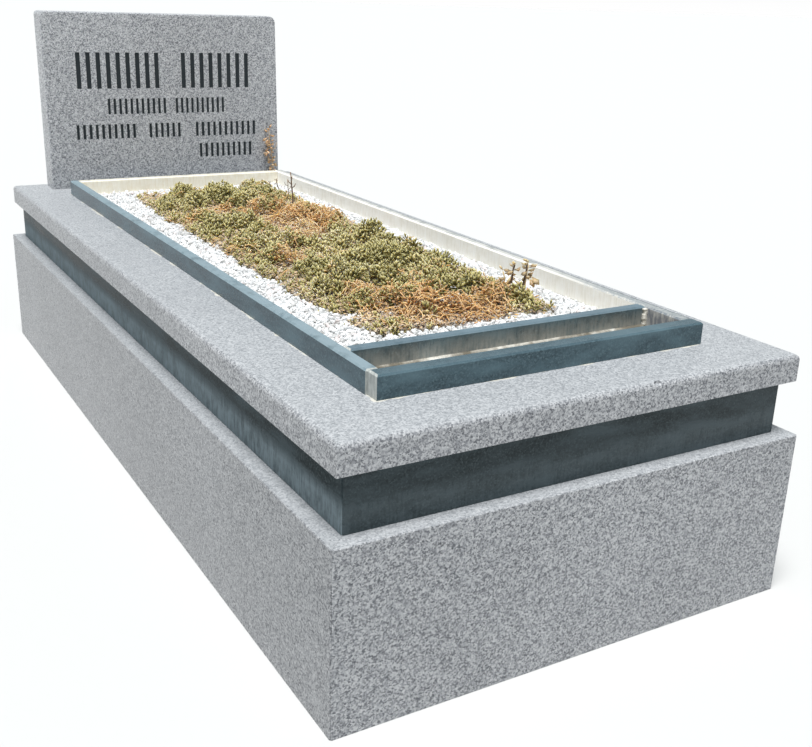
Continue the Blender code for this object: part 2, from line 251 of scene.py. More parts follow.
def dark_granite(name, tones, smudge, polish, ior, top=None, sawn=(), stains_and_painted_light=()):
    """Dark granite, polished apart from the faces that sawn lists.

    tones run from the crystals' darkest to their palest, and polish from cleanest to dullest.
    top is a colour and how far it hides the faces that look up: lime wash, or on polished tops
    a painted sky reflection. sawn gives sides and their colours. The last argument lists marks,
    both plain marks and painted reflections, each as a side, an axis, the place on that axis
    where the mark starts, the place where it is full, its colour and its strength.
    """
    made, tree = finish(name)
    coords = node(tree, "TexCoord")
    place, facing = coords["Object"], coords["Normal"]
    crystal = node(tree, "TexVoronoi", {"Vector": place, "Scale": 1.0 / CRYSTAL})["Color"]
    crystal = node(tree, "SeparateColor", {0: crystal})["Red"]
    tone = node(tree, "ValToRGB", {"Fac": crystal},
                stops=((0.0, tones[0]), (0.4, tones[1]), (0.8, tones[2]), (1.0, tones[3])))["Color"]
    long = node(tree, "VectorMath", {0: place, 1: (1.0, 1.0, SMUDGE_STRETCH)},
                operation="MULTIPLY")["Vector"]
    smear = node(tree, "TexNoise", {"Vector": long, "Scale": 1.0 / SMEAR, "Detail": 4.0})["Fac"]
    paler = node(tree, "MapRange", {"Value": smear, "From Min": 0.42, "From Max": 0.68,
                                    "To Max": 0.75})["Result"]
    tone = node(tree, "Mix", {0: paler, 6: tone, 7: linear(smudge)}, data_type="RGBA")[2]
    rough = node(tree, "MapRange", {"Value": smear, "From Min": 0.35, "From Max": 0.7,
                                    "To Min": polish[0], "To Max": polish[1]})["Result"]
    patch = node(tree, "TexNoise", {"Vector": place, "Scale": 1.0 / GRIME, "Detail": 5.0,
                                    "Roughness": 0.65})["Fac"]
    tall = node(tree, "VectorMath", {0: place, 1: (1.0, 1.0, 1.0 / STREAK_STRETCH)},
                operation="MULTIPLY")["Vector"]
    streak = node(tree, "TexNoise", {"Vector": tall, "Scale": 1.0 / STREAK, "Detail": 3.0})["Fac"]
    # Painted sky reflection on the polished tops of some slabs; lime wash on the others.
    if top:
        up = node(tree, "VectorMath", {0: facing, 1: (0.0, 0.0, 1.0)}, operation="DOT_PRODUCT")
        up = node(tree, "MapRange", {"Value": up["Value"], "From Min": 0.4, "From Max": FACING,
                                     "To Max": top[1]})["Result"]
        amount = node(tree, "MapRange", {"Value": patch, "From Min": 0.36, "From Max": 0.50,
                                         "To Min": 0.55, "To Max": 1.0})["Result"]
        up = node(tree, "Math", {0: up, 1: amount}, operation="MULTIPLY")["Value"]
        tone = node(tree, "Mix", {0: up, 6: tone, 7: linear(top[0])}, data_type="RGBA")[2]
        rough = node(tree, "Math", {0: up, 1: 0.3, 2: rough}, operation="MULTIPLY_ADD")["Value"]
    for side, colours in sawn:
        look = looks_to(tree, facing, side)
        blend = node(tree, "Mix", {0: 0.5, 2: patch, 3: streak})[0]
        cut = node(tree, "ValToRGB", {"Fac": blend},
                   stops=((0.34, colours[0]), (0.5, colours[1]), (0.66, colours[2])))["Color"]
        tone = node(tree, "Mix", {0: look, 6: tone, 7: cut}, data_type="RGBA")[2]
        rough = node(tree, "Math", {0: look, 1: 0.7, 2: rough}, operation="MULTIPLY_ADD")["Value"]
    # Marks include painted reflections, such as the lit ledge painted into the band's lower half.
    for side, axis, start, full, colour, strength in stains_and_painted_light:
        along = node(tree, "SeparateXYZ", {0: place})[axis]
        along = node(tree, "MapRange", {"Value": along, "From Min": start, "From Max": full,
                                        "To Max": strength})["Result"]
        runs = node(tree, "Mix", {0: 0.5, 2: patch, 3: streak})[0]
        runs = node(tree, "MapRange", {"Value": runs, "From Min": 0.36, "From Max": 0.56,
                                       "To Min": 0.35, "To Max": 1.0})
        along = node(tree, "Math", {0: along, 1: runs["Result"]}, operation="MULTIPLY")["Value"]
        along = node(tree, "Math", {0: along, 1: looks_to(tree, facing, side)},
                     operation="MULTIPLY")["Value"]
        tone = node(tree, "Mix", {0: along, 6: tone, 7: linear(colour)}, data_type="RGBA")[2]
        rough = node(tree, "Math", {0: along, 1: 0.5, 2: rough}, operation="MULTIPLY_ADD")["Value"]
    shader = node(tree, "BsdfPrincipled", {"Base Color": tone, "Roughness": rough, "IOR": ior})
    node(tree, "OutputMaterial", {"Surface": shader["BSDF"]})
    return made


band_low, band_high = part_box("band_front")
band_rise = band_high.z - band_low.z


def painted_ledge_reflection(side, strength):
    """A mark for dark_granite: painted reflection of the lit ledge on the lower half of the band's
    face.
    """
    starts, full = (band_low.z + share * band_rise for share in REFLECTION_RISE)
    return side, "Z", starts, full, BAND_PAINTED_REFLECTION, strength


# Painted reflection of the lit ledge: faint on the short sides, strong on the long ones.
dress(["band_front", "band_back"],
      dark_granite("polished_black_granite", BAND_TONES, BAND_SMUDGE, BAND_POLISH, BAND_IOR,
                   stains_and_painted_light=(painted_ledge_reflection(FOOT, 0.15), painted_ledge_reflection(HEAD, 0.15))))
dress(["band_left", "band_right"],
      dark_granite("polished_black_granite_with_painted_reflection", BAND_TONES, BAND_SMUDGE, BAND_POLISH,
                   BAND_SIDE_IOR, stains_and_painted_light=(painted_ledge_reflection(LEFT, 0.9), painted_ledge_reflection(RIGHT, 0.9))))

# Cover
# One grey granite slab, 50 mm thick, with a rounded and polished upper edge and an opening
# over the bed. It lies on the band and stands out past it all round. Lime mortar has smeared
# out on it along the kerb's foot.
SMEAR_REACH = (-0.005, 0.007)            # how far out the mortar ends, least and most
SMEAR_PATCH = 0.060          # across one patch of it
SMEAR_EDGE = (-0.001, 0.002)             # over which it fades
kerb_low, kerb_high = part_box("kerb_front")
kerb_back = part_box("kerb_head")[1].y


def mortar_smears(tree, tone, rough):
    """Lime smeared out along the kerb's foot, here a little and there not at all."""
    place = node(tree, "TexCoord")["Object"]
    where = node(tree, "SeparateXYZ", {0: place})
    across = node(tree, "Math", {0: where["X"]}, operation="ABSOLUTE")["Value"]
    across = node(tree, "Math", {0: across, 1: kerb_high.x}, operation="SUBTRACT")["Value"]
    before = node(tree, "Math", {0: kerb_low.y, 1: where["Y"]}, operation="SUBTRACT")["Value"]
    behind = node(tree, "Math", {0: where["Y"], 1: kerb_back}, operation="SUBTRACT")["Value"]
    away = node(tree, "Math", {0: before, 1: behind}, operation="MAXIMUM")["Value"]
    away = node(tree, "Math", {0: away, 1: across}, operation="MAXIMUM")["Value"]
    patch = node(tree, "TexNoise", {"Vector": place, "Scale": 1.0 / SMEAR_PATCH,
                                    "Detail": 5.0})["Fac"]
    reach = node(tree, "MapRange", {"Value": patch, "From Min": 0.42, "From Max": 0.66,
                                    "To Min": SMEAR_REACH[0], "To Max": SMEAR_REACH[1]})["Result"]
    near = node(tree, "Math", {0: reach, 1: away}, operation="SUBTRACT")["Value"]
    near = node(tree, "MapRange", {"Value": near, "From Min": SMEAR_EDGE[0],
                                   "From Max": SMEAR_EDGE[1], "To Max": 0.75})["Result"]
    tone = node(tree, "Mix", {0: near, 6: tone, 7: linear("#D0CCC0")}, data_type="RGBA")[2]
    rough = node(tree, "Math", {0: near, 1: 0.5, 2: rough}, operation="MULTIPLY_ADD")["Value"]
    return tone, rough


dress(["cover_slab"],
      grey_granite("polished_grey_granite_with_mortar_smears", BODY_SHADE, mortar_smears))

# Kerb
# Dark blue-green granite slabs on edge, glued to the cover with lime mortar. Only outer faces
# and tops are polished; ends and inner faces are pale from the saw and from lime wash. The
# front, left and inner slabs' tops carry a pale blue-grey painted sky reflection in patches, and
# lime wash has paled the right and head slabs' tops, each slab's in its own way.
KERB_TONES = ("#33454C", "#3B4F57", "#445860", "#53686F")
KERB_SMUDGE = "#5A737C"
KERB_POLISH = (0.12, 0.26)
KERB_IOR = 1.45
LIME_WASH = ("#E9E5DA", "#F4F1E9", "#F8F7F2")
CREAM_WASH = ("#E6DDC6", "#EEE8D8", "#F4F1E6")
SAWN_GREY = ("#8D918F", "#AEB2AF", "#C6C8C4")
TOP_WORN_FROM, TOP_WORN_TO = -0.52, -0.74   # where the wash on the right slab's top gives out
EDGE_LINE = (0.008, 0.005)   # from the right edge, where its dark outer line starts and is full
TROUGH_GREY_FADE = 0.004            # either side of the trough's back, over which the right slab's inner face turns grey inside the trough
trough_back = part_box("kerb_inner")[0].y
trough_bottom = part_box("trough_floor")[1].z
right_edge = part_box("kerb_right")[1].x
KERB_SLABS = {
    # colour and strength of the top's painted sky reflection (front, left, inner) and lime wash
    # (right, head), sawn faces, marks and painted reflections
    # The front, left and inner slabs' pale blue-grey tops are a painted sky reflection; the right and
    # head slabs' tops are lime-washed.
    "kerb_front": (("#52656F", 0.38), ((LEFT, SAWN_GREY), (RIGHT, SAWN_GREY), (HEAD, LIME_WASH)),
                   ((HEAD, "Z", kerb_high.z, trough_bottom, "#8F8676", 1.0),)),
    "kerb_left": (("#889AA2", 0.90), ((RIGHT, LIME_WASH), (FOOT, SAWN_GREY), (HEAD, SAWN_GREY)),
                  ()),
    "kerb_right": (("#C6C5C0", 0.95), ((LEFT, LIME_WASH), (FOOT, SAWN_GREY), (HEAD, SAWN_GREY)),
                   ((LEFT, "Y", trough_back + TROUGH_GREY_FADE, trough_back - TROUGH_GREY_FADE, "#83868C", 1.0),
                    (UP, "Y", TOP_WORN_FROM, TOP_WORN_TO, "#6E7980", 0.75),
                    (UP, "X", right_edge - EDGE_LINE[0], right_edge - EDGE_LINE[1], "#6A6F72", 1.0))),
    "kerb_head": (("#D2CDBE", 0.95), ((FOOT, CREAM_WASH),), ()),
    "kerb_inner": (("#70838F", 0.60), ((HEAD, LIME_WASH), (LEFT, SAWN_GREY), (RIGHT, SAWN_GREY)),
                   ((FOOT, "Z", kerb_high.z, trough_bottom, "#B2AFA6", 0.80),)),
}
for name, (top, sawn, stains_and_painted_light) in KERB_SLABS.items():
    dress([name], dark_granite(name + "_blue_green_granite", KERB_TONES, KERB_SMUDGE, KERB_POLISH,
                               KERB_IOR, top, sawn, stains_and_painted_light))

# Trough floor
# Lime mortar trowelled between the kerb's front slab and the inner slab, brown where soil has
# washed over it. A fillet of it seals the inner slab's foot, and a bead its right end.
TROWEL = 0.045               # across one trowelled patch
SAND = 0.0015                # across one grain of sand; drawn coarser than real, to show
FLOOR_STEP = 0.004           # between the mesh's points
FLOOR_WAVE = 0.0008          # how far the floor's top dips and rises
FILLET = 0.0030              # height and reach of the fillet
BEAD = 0.0080                # across the bead
BEAD_LUMP = 0.006            # along one lump of it
BEAD_SINK = 0.001            # into the floor
BEAD_SHORT = 0.002           # from its upper end to the kerb's top
BEAD_STEPS = 12
mortar_low, mortar_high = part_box("trough_floor")


def lime_mortar():
    """Matt mortar, cleaner in the fillet than on the open floor, where soil has stained it."""
    made, tree = finish("lime_mortar")
    place = node(tree, "TexCoord")["Object"]
    stain = node(tree, "TexNoise", {"Vector": place, "Scale": 1.0 / TROWEL, "Detail": 6.0,
                                    "Roughness": 0.65})["Fac"]
    dirty = node(tree, "ValToRGB", {"Fac": stain},
                 stops=((0.38, "#5F594E"), (0.48, "#7F7B71"), (0.56, "#A3A199"),
                        (0.66, "#DAD9D4")))["Color"]
    clean = node(tree, "ValToRGB", {"Fac": stain},
                 stops=((0.38, "#6C6659"), (0.5, "#A09B90"), (0.62, "#D0CDC4")))["Color"]
    sealed = node(tree, "SeparateXYZ", {0: place})["Y"]
    sealed = node(tree, "MapRange", {"Value": sealed, "From Min": mortar_high.y - 1.2 * FILLET,
                                     "From Max": mortar_high.y - 0.7 * FILLET})["Result"]
    tone = node(tree, "Mix", {0: sealed, 6: dirty, 7: clean}, data_type="RGBA")[2]
    sand = node(tree, "TexNoise", {"Vector": place, "Scale": 1.0 / SAND, "Detail": 2.0})["Fac"]
    relief = node(tree, "Bump", {"Height": sand, "Strength": 0.6, "Distance": 0.001})
    shader = node(tree, "BsdfPrincipled", {"Base Color": tone, "Roughness": 0.95,
                                           "Normal": relief["Normal"]})
    node(tree, "OutputMaterial", {"Surface": shader["BSDF"]})
    return made


def mesh_arrays(bm):
    """Points and triangles of a closed mesh."""
    bmesh.ops.triangulate(bm, faces=bm.faces)
    bmesh.ops.recalc_face_normals(bm, faces=bm.faces)
    bm.verts.index_update()
    points = np.array([v.co[:] for v in bm.verts])
    triangles = np.array([[v.index for v in f.verts] for f in bm.faces])
    bm.free()
    return points, triangles


def gather(parts):
    """Joins the points and triangles that lead each part."""
    starts = np.cumsum([0] + [len(part[0]) for part in parts[:-1]])
    return (np.concatenate([part[0] for part in parts]),
            np.concatenate([part[1] + start for part, start in zip(parts, starts)]))


def piece(name, parts, stands_for, smooth):
    """One object from (points, triangles, material) parts, riding on the monument."""
    points, triangles = gather(parts)
    mesh = bpy.data.meshes.new(name)
    mesh.from_pydata(points.tolist(), [], triangles.tolist())
    materials = list(dict.fromkeys(part[2] for part in parts))
    for material in materials:
        mesh.materials.append(material)
    index = np.concatenate([np.full(len(part[1]), materials.index(part[2])) for part in parts])
    mesh.polygons.foreach_set("material_index", index)
    mesh.polygons.foreach_set("use_smooth", np.full(len(triangles), smooth))
    made = bpy.data.objects.new(name, mesh)
    bpy.context.scene.collection.objects.link(made)
    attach(made, "root")
    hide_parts(stands_for)
    return made


def trowelled_floor():
    """The floor's slab with an uneven top that rises into the fillet."""
    columns = round((mortar_high.x - mortar_low.x) / FLOOR_STEP)
    rows = round((mortar_high.y - mortar_low.y) / FLOOR_STEP)
    bm = bmesh.new()
    bmesh.ops.create_grid(bm, x_segments=columns, y_segments=rows, size=0.5)
    middle = (mortar_low + mortar_high) / 2
    span = mortar_high - mortar_low
    for v in bm.verts:
        x = middle.x + v.co.x * span.x
        y = middle.y + v.co.y * span.y
        lump = noise.noise((x / TROWEL, y / TROWEL, 2.0))
        near = max(0.0, 1.0 - (mortar_high.y - y) / (FILLET * (1.0 + 0.5 * lump)))
        v.co = (x, y, mortar_high.z - FLOOR_WAVE + FLOOR_WAVE * lump + FILLET * near ** 2)
    rim = [e for e in bm.edges if e.is_boundary]
    drawn = bmesh.ops.extrude_edge_only(bm, edges=rim)["geom"]
    for v in drawn:
        if isinstance(v, bmesh.types.BMVert):
            v.co.z = mortar_low.z
    bmesh.ops.holes_fill(bm, edges=[e for e in bm.edges if e.is_boundary])
    return mesh_arrays(bm)


def mortar_bead():
    """Uneven three-sided column in the corner at the inner slab's right end."""
    bm = bmesh.new()
    rings = []
    rise = kerb_high.z - BEAD_SHORT - mortar_high.z
    for i in range(BEAD_STEPS + 1):
        z = mortar_high.z - BEAD_SINK + rise * i / BEAD_STEPS
        wide, deep = (BEAD * (0.85 + 0.4 * noise.noise((seed, 0.0, z / BEAD_LUMP)))
                      for seed in (1.0, 5.0))
        rings.append([bm.verts.new(p) for p in ((mortar_high.x, mortar_high.y, z),
                                                (mortar_high.x - wide, mortar_high.y, z),
                                                (mortar_high.x, mortar_high.y - deep, z))])
    for lower, upper in zip(rings, rings[1:]):
        for i in range(3):
            j = (i + 1) % 3
            bm.faces.new((lower[i], lower[j], upper[j], upper[i]))
    bm.faces.new(rings[0])
    bm.faces.new(rings[-1])
    return mesh_arrays(bm)


mortar = lime_mortar()
bead_mortar, tree = finish("clean_lime_mortar")
shade = node(tree, "TexNoise", {"Vector": node(tree, "TexCoord")["Object"], "Scale": 1.0 / SAND,
                                "Detail": 3.0})["Fac"]
tone = node(tree, "ValToRGB", {"Fac": shade}, stops=((0.3, "#D6D1C4"), (0.7, "#EFECE4")))["Color"]
shader = node(tree, "BsdfPrincipled", {"Base Color": tone, "Roughness": 0.95})
node(tree, "OutputMaterial", {"Surface": shader["BSDF"]})
dress(["trough_floor"], mortar)
piece("trowelled_mortar", [(*trowelled_floor(), mortar), (*mortar_bead(), bead_mortar)],
      "trough_floor", True)

# Headstone
# One grey granite slab, 80 mm thick, with eased edges and two rounded upper corners. Rows of
# strokes are cut 2 mm deep into its face and filled with dark paint.
PAINT_FROM = 0.0006          # depth at which the paint in the strokes starts
PAINT_TO = 0.0040
PAINT_MARGIN = 0.012         # unpainted border of the stone
HEAD_PAINTED_LIGHT = 1.22            # painted light: the headstone's stone is made paler than the plinth's to stand in for the light on its face
head_low, head_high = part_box("headstone")


def stroke_paint(tree, tone, rough):
    """Dark enamel on the floor of the strokes, found by its depth behind the face."""
    where = node(tree, "SeparateXYZ", {0: node(tree, "TexCoord")["Object"]})
    tests = (
        (where["Y"], "GREATER_THAN", head_low.y + PAINT_FROM),
        (where["Y"], "LESS_THAN", head_low.y + PAINT_TO),
        (where["X"], "GREATER_THAN", head_low.x + PAINT_MARGIN),
        (where["X"], "LESS_THAN", head_high.x - PAINT_MARGIN),
        (where["Z"], "GREATER_THAN", head_low.z + PAINT_MARGIN),
        (where["Z"], "LESS_THAN", head_high.z - PAINT_MARGIN),
    )
    painted = 1.0
    for value, test, limit in tests:
        passed = node(tree, "Math", {0: value, 1: limit}, operation=test)["Value"]
        painted = node(tree, "Math", {0: passed, 1: painted}, operation="MULTIPLY")["Value"]
    tone = node(tree, "Mix", {0: painted, 6: tone, 7: linear("#2C3236")}, data_type="RGBA")[2]
    rough = node(tree, "Math", {0: painted, 1: 0.15, 2: rough}, operation="MULTIPLY_ADD")["Value"]
    return tone, rough


# Painted light: the headstone's granite is made paler to stand in for the light on its face.
dress(["headstone"],
      grey_granite("polished_grey_granite_with_painted_light_and_strokes", HEAD_PAINTED_LIGHT, stroke_paint))

# Earth
# Garden soil, shovelled in after the stones were glued up. It fills them and carries the
# chippings, and no part of it shows.
CRUMB = 0.006                # across one crumb of soil
soil, tree = finish("garden_soil")
place = node(tree, "TexCoord")["Object"]
crumb = node(tree, "TexNoise", {"Vector": place, "Scale": 1.0 / CRUMB, "Detail": 5.0})["Fac"]
tone = node(tree, "ValToRGB", {"Fac": crumb},
            stops=((0.3, "#3A2C1F"), (0.5, "#5A4632"), (0.7, "#7A644A")))["Color"]
relief = node(tree, "Bump", {"Height": crumb, "Strength": 0.8, "Distance": 0.003})
shader = node(tree, "BsdfPrincipled", {"Base Color": tone, "Roughness": 0.95,
                                       "Normal": relief["Normal"]})
node(tree, "OutputMaterial", {"Surface": shader["BSDF"]})
dress(["earth_fill"], soil)

# Chippings
# Crushed white marble, 8 to 16 mm, raked level inside the kerb. The broken faces are matt and
# nearly white, with a few pinkish and grey stones among them.
CHIP_SIZE = (0.0074, 0.0060, 0.0048)     # half-axes of a middling stone
CHIP_CORNERS = 12
CHIP_KINDS = 9
CHIP_SPACING = 0.0090        # where the stones show
HIDDEN_SPACING = 0.0115      # under the plants
CHIP_SINK = 0.0030           # of the base layer below the stones
CHIP_HEIGHTS = (-0.0030, 0.0022)         # how far a stone's middle stands off the bed's level
CHIP_SHARES = (0.62, 1.15)   # smallest and largest stone beside the middling one
BED_MARGIN = 0.0065          # from the kerb to the nearest stone's middle
BARE_PATCHES = (             # gaps in the planting: across, along, reach
    (-0.020, -0.222, 0.026), (0.065, -0.544, 0.036), (-0.088, 0.117, 0.022),
    (-0.164, -0.579, 0.024), (-0.010, -0.520, 0.024), (0.060, 0.020, 0.024),
    (0.120, -0.470, 0.026), (-0.060, 0.300, 0.022), (0.150, 0.130, 0.024),
)
BARE_PULL = 0.4              # share of a gap's pull from which nothing grows
VEIN = 0.0038                # across one vein or fleck in a stone
chance = np.random.default_rng(11)
gravel_low, gravel_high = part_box("gravel_bed")


def surface_of(name):
    """Search tree over one of the imported solids."""
    bm = bmesh.new()
    bm.from_mesh(nodes[name].data)
    return BVHTree.FromBMesh(bm)


def drop(surface, x, y):
    """Height of the surface's top at a place, or None."""
    hit = surface.ray_cast(Vector((x, y, 2.0)), Vector((0.0, 0.0, -1.0)))[0]
    return None if hit is None else hit.z


def broken_stone():
    """Hull of a few corners spread over an ellipsoid."""
    bm = bmesh.new()
    for _ in range(CHIP_CORNERS):
        corner = chance.normal(size=3)
        corner *= chance.uniform(0.85, 1.0) / np.linalg.norm(corner)
        bm.verts.new(corner * CHIP_SIZE)
    hull = bmesh.ops.convex_hull(bm, input=bm.verts)
    spare = {v for v in hull["geom_unused"] + hull["geom_interior"]
             if isinstance(v, bmesh.types.BMVert)}
    bmesh.ops.delete(bm, geom=list(spare), context="VERTS")
    return mesh_arrays(bm)


def random_turns(count, lean):
    """Rotations to any heading that lean over by up to that many radians."""
    heading, spin = chance.uniform(0.0, 2.0 * math.pi, (2, count))
    tilt = chance.uniform(0.0, lean, count)
    turns = np.tile(np.eye(3), (count, 1, 1))
    for angle, (i, j) in ((heading, (0, 1)), (tilt, (1, 2)), (spin, (0, 1))):
        step = np.tile(np.eye(3), (count, 1, 1))
        step[:, i, i] = step[:, j, j] = np.cos(angle)
        step[:, i, j] = -np.sin(angle)
        step[:, j, i] = np.sin(angle)
        turns = turns @ step
    return turns


def copies(shapes, places, turns, sizes):
    """Points and triangles of shapes taken at random, turned, sized and set at the places."""
    picks = chance.integers(0, len(shapes), len(places))
    points, triangles, start = [], [], 0
    for kind, (corners, faces) in enumerate(shapes):
        mine = np.flatnonzero(picks == kind)
        spread = np.einsum("nij,pj->npi", turns[mine] * sizes[mine, None, None], corners)
        points.append((spread + places[mine, None, :]).reshape(-1, 3))
        offsets = start + np.arange(len(mine)) * len(corners)
        triangles.append((faces[None] + offsets[:, None, None]).reshape(-1, 3))
        start += len(mine) * len(corners)
    return np.concatenate(points), np.concatenate(triangles)


def crushed_marble(name, stops):
    """Matt broken stone; each stone has its own tone."""
    made, tree = finish(name)
    own = node(tree, "NewGeometry")["Random Per Island"]
    tone = node(tree, "ValToRGB", {"Fac": own}, stops=stops)["Color"]
    vein = node(tree, "TexNoise", {"Vector": node(tree, "TexCoord")["Object"],
                                   "Scale": 1.0 / VEIN, "Detail": 3.0})["Fac"]
    shade = node(tree, "MapRange", {"Value": vein, "From Min": 0.3, "From Max": 0.7,
                                    "To Min": 0.92, "To Max": 1.03})["Result"]
    tone = node(tree, "VectorMath", {0: tone, "Scale": shade}, operation="SCALE")["Vector"]
    relief = node(tree, "Bump", {"Height": vein, "Strength": 0.3, "Distance": 0.001})
    shader = node(tree, "BsdfPrincipled", {"Base Color": tone, "Roughness": 0.7,
                                           "Normal": relief["Normal"]})
    node(tree, "OutputMaterial", {"Surface": shader["BSDF"]})
    return made


marble = crushed_marble("crushed_white_marble",
                        ((0.0, "#BDBBB8"), (0.1, "#D0D0CF"), (0.25, "#DCDDDD"),
                         (0.6, "#E5E6E7"), (0.92, "#EDEEEF"), (1.0, "#DFD3D0")))
stained = crushed_marble("soil_stained_marble",
                         ((0.0, "#8C8072"), (0.5, "#AFA497"), (0.8, "#CCC4BA"), (1.0, "#E0DCD6")))
marble_dust = crushed_marble("marble_dust", ((0.0, "#D6D7D7"), (1.0, "#E0E0DF")))

gravel_surface = surface_of("gravel_bed")
plant_surface = surface_of("ground_cover")


def patch_weight(patches, x, y):
    """How strongly round patches pull at a place: 1 in the middle of one, falling outwards."""
    return sum(math.exp(-((x - px) ** 2 + (y - py) ** 2) / reach ** 2) for px, py, reach in patches)


def is_planted(x, y):
    """Whether the ground cover grows here."""
    return drop(plant_surface, x, y) is not None and patch_weight(BARE_PATCHES, x, y) < BARE_PULL


def stone_places(spacing, planted):
    """Scattered places on the bed, on or off the planted part."""
    spots = []
    for x in np.arange(gravel_low.x + BED_MARGIN, gravel_high.x - BED_MARGIN, spacing):
        for y in np.arange(gravel_low.y + BED_MARGIN, gravel_high.y - BED_MARGIN, spacing):
            px, py = np.array((x, y)) + chance.uniform(-0.4, 0.4, 2) * spacing
            px = min(max(px, gravel_low.x + BED_MARGIN), gravel_high.x - BED_MARGIN)
            py = min(max(py, gravel_low.y + BED_MARGIN), gravel_high.y - BED_MARGIN)
            if is_planted(px, py) == planted:
                spots.append((px, py, drop(gravel_surface, px, py)))
    return spots


stone_kinds = [broken_stone() for _ in range(CHIP_KINDS)]


def strewn(spots):
    """Stones of all kinds and sizes, lying any way up at the spots."""
    places = np.array(spots)
    places[:, 2] += chance.uniform(*CHIP_HEIGHTS, len(places))
    sizes = chance.uniform(*CHIP_SHARES, len(places))
    return copies(stone_kinds, places, random_turns(len(places), math.pi / 2), sizes)


base = bmesh.new()
base.from_mesh(nodes["gravel_bed"].data)
for v in base.verts:
    if v.co.z > gravel_low.z + CHIP_SINK:
        v.co.z -= CHIP_SINK
piece("loose_chippings", [(*mesh_arrays(base), marble_dust),
                          (*strewn(stone_places(CHIP_SPACING, False)), marble),
                          (*strewn(stone_places(HIDDEN_SPACING, True)), stained)],
      "gravel_bed", False)

# Ground cover
# A low mat of fleshy-leaved succulents, rooted through the chippings. The living shoots are
# olive green; in dry patches leaves and trailing stems have shrivelled to orange brown.
LEAF_WIDTH = 0.46            # shares of a leaf's length
LEAF_THICKNESS = 0.24
LEAF_WIDEST = 0.62           # where along it a leaf is widest
LEAF_SHRINK = 0.45           # how much shorter a shoot's top leaves are than its lowest
LEAF_OUT = 0.04              # from the stem's middle to a leaf's foot
SHOOT_LEAVES = 12
SHOOT_RISE = 1.05            # a shoot's stem as a share of its longest leaf
GOLDEN_ANGLE = math.radians(137.5)
SHOOT_KINDS = 10
SHOOT_SPACING = 0.0150
SHOOT_HEIGHTS = (-0.009, 0.003)          # of a shoot's tip over the mat's general top
LEAF_LENGTH = (0.013, 0.027)
TUFT = 0.075                 # across one tuft of shoots
TUFT_DROP = 0.036            # how much lower the mat lies between the tufts
TUFT_RISE = 0.007            # how far a tuft's middle stands over the mat's general top
TUFT_LEVEL = 0.012           # how much lower than its neighbours a tuft may be
TUFT_EDGE = 0.56             # distance from a tuft's middle past which shoots get scarce
LOWEST_TIP = 0.014           # over the mat's underside
SHOOT_SINK = 0.35            # of a shoot's middle below its tips, as a share of a leaf's length
TUFT_SHARE = 0.55            # how much of a leaf's tone is its tuft's
FLECK = 0.0031               # across one fleck on a leaf
LEAF_GLOW = 0.65             # how much of the light goes through the flesh
LEAF_GLOW_DEPTH = 0.008
STEM_RADIUS = (0.0015, 0.0008)           # of a dried trailing stem, at its foot and its tip
STEM_POINTS = 6
STEM_LENGTH = (0.025, 0.065)
STEM_ARCH = (0.003, 0.012)   # how high its middle stands over its ends
STEM_CURVE = 1.8             # radians, how far it turns along its length
STEM_SINK = 0.006            # of its ends below the shoots' tips
STEM_LIFT = 0.004            # how far it may climb over the shoot it grows from
LITTER_SPACING = 0.0065
LITTER_LENGTH = (0.006, 0.013)
LITTER_HEIGHT = (0.001, 0.011)           # over the mat's underside
DRY_SHARE = 0.42             # dryness above which a shoot has dried
DRY_SCATTER = 0.34           # how unevenly neighbours dry
DRY_PATCHES = (
    # across, along, reach
    (0.105, 0.270, 0.085), (0.110, 0.175, 0.08), (0.012, 0.060, 0.07), (-0.095, -0.150, 0.045),
    (-0.080, 0.440, 0.060), (0.000, 0.390, 0.055), (-0.088, -0.470, 0.055), (-0.110, -0.610, 0.07),
    (-0.010, -0.640, 0.075), (0.092, -0.640, 0.065), (0.020, 0.170, 0.05),
)
GREEN_PATCHES = (
    (-0.180, 0.560, 0.09), (-0.110, 0.515, 0.05), (0.075, 0.580, 0.09), (-0.160, 0.170, 0.09),
    (-0.185, -0.180, 0.08), (-0.180, -0.390, 0.08), (-0.200, -0.540, 0.06), (-0.010, -0.320, 0.08),
    (0.150, -0.080, 0.09), (0.130, -0.330, 0.09), (0.160, -0.710, 0.05), (-0.190, -0.720, 0.06),
)
plant_low, plant_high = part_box("ground_cover")


def leaf(width, thickness, curl):
    """One fleshy leaf of unit length along +X, widest towards its tip, with a keel below."""
    z = curl * LEAF_WIDEST ** 2
    points = ((0.0, 0.0, 0.0), (LEAF_WIDEST, width / 2, z), (LEAF_WIDEST, -width / 2, z),
              (LEAF_WIDEST, 0.0, z - thickness), (1.0, 0.0, curl))
    bm = bmesh.new()
    verts = [bm.verts.new(point) for point in points]
    for i in range(3):
        j = (i + 1) % 3
        bm.faces.new((verts[0], verts[1 + j], verts[1 + i]))
        bm.faces.new((verts[1 + i], verts[1 + j], verts[4]))
    return mesh_arrays(bm)


def shoot(lowest, highest, curl, thin, count):
    """Leaves up a stem on the golden angle, rising from the lowest angle to the highest."""
    leaves = []
    for k in range(count):
        up = k / (count - 1)
        lift = math.radians(lowest + (highest - lowest) * up + chance.uniform(-12, 12))
        turn = k * GOLDEN_ANGLE + chance.uniform(-0.3, 0.3)
        corners, faces = leaf(LEAF_WIDTH * thin, LEAF_THICKNESS * thin,
                              curl * chance.uniform(0.4, 1.6))
        size = (1.0 - LEAF_SHRINK * up) * chance.uniform(0.8, 1.1)
        corners = corners * size + (LEAF_OUT, 0.0, 0.0)
        pose = Matrix.Rotation(turn, 3, "Z") @ Matrix.Rotation(-lift, 3, "Y")
        leaves.append((corners @ np.array(pose).T + (0.0, 0.0, SHOOT_RISE * (up - 1.0)), faces))
    return gather(leaves)


def dryness(x, y):
    """How dried out the plants are here; noise frays the patches' edges."""
    drift = noise.noise((x / TUFT, y / TUFT, 4.0))
    return patch_weight(DRY_PATCHES, x, y) - 0.7 * patch_weight(GREEN_PATCHES, x, y) + 0.5 * drift


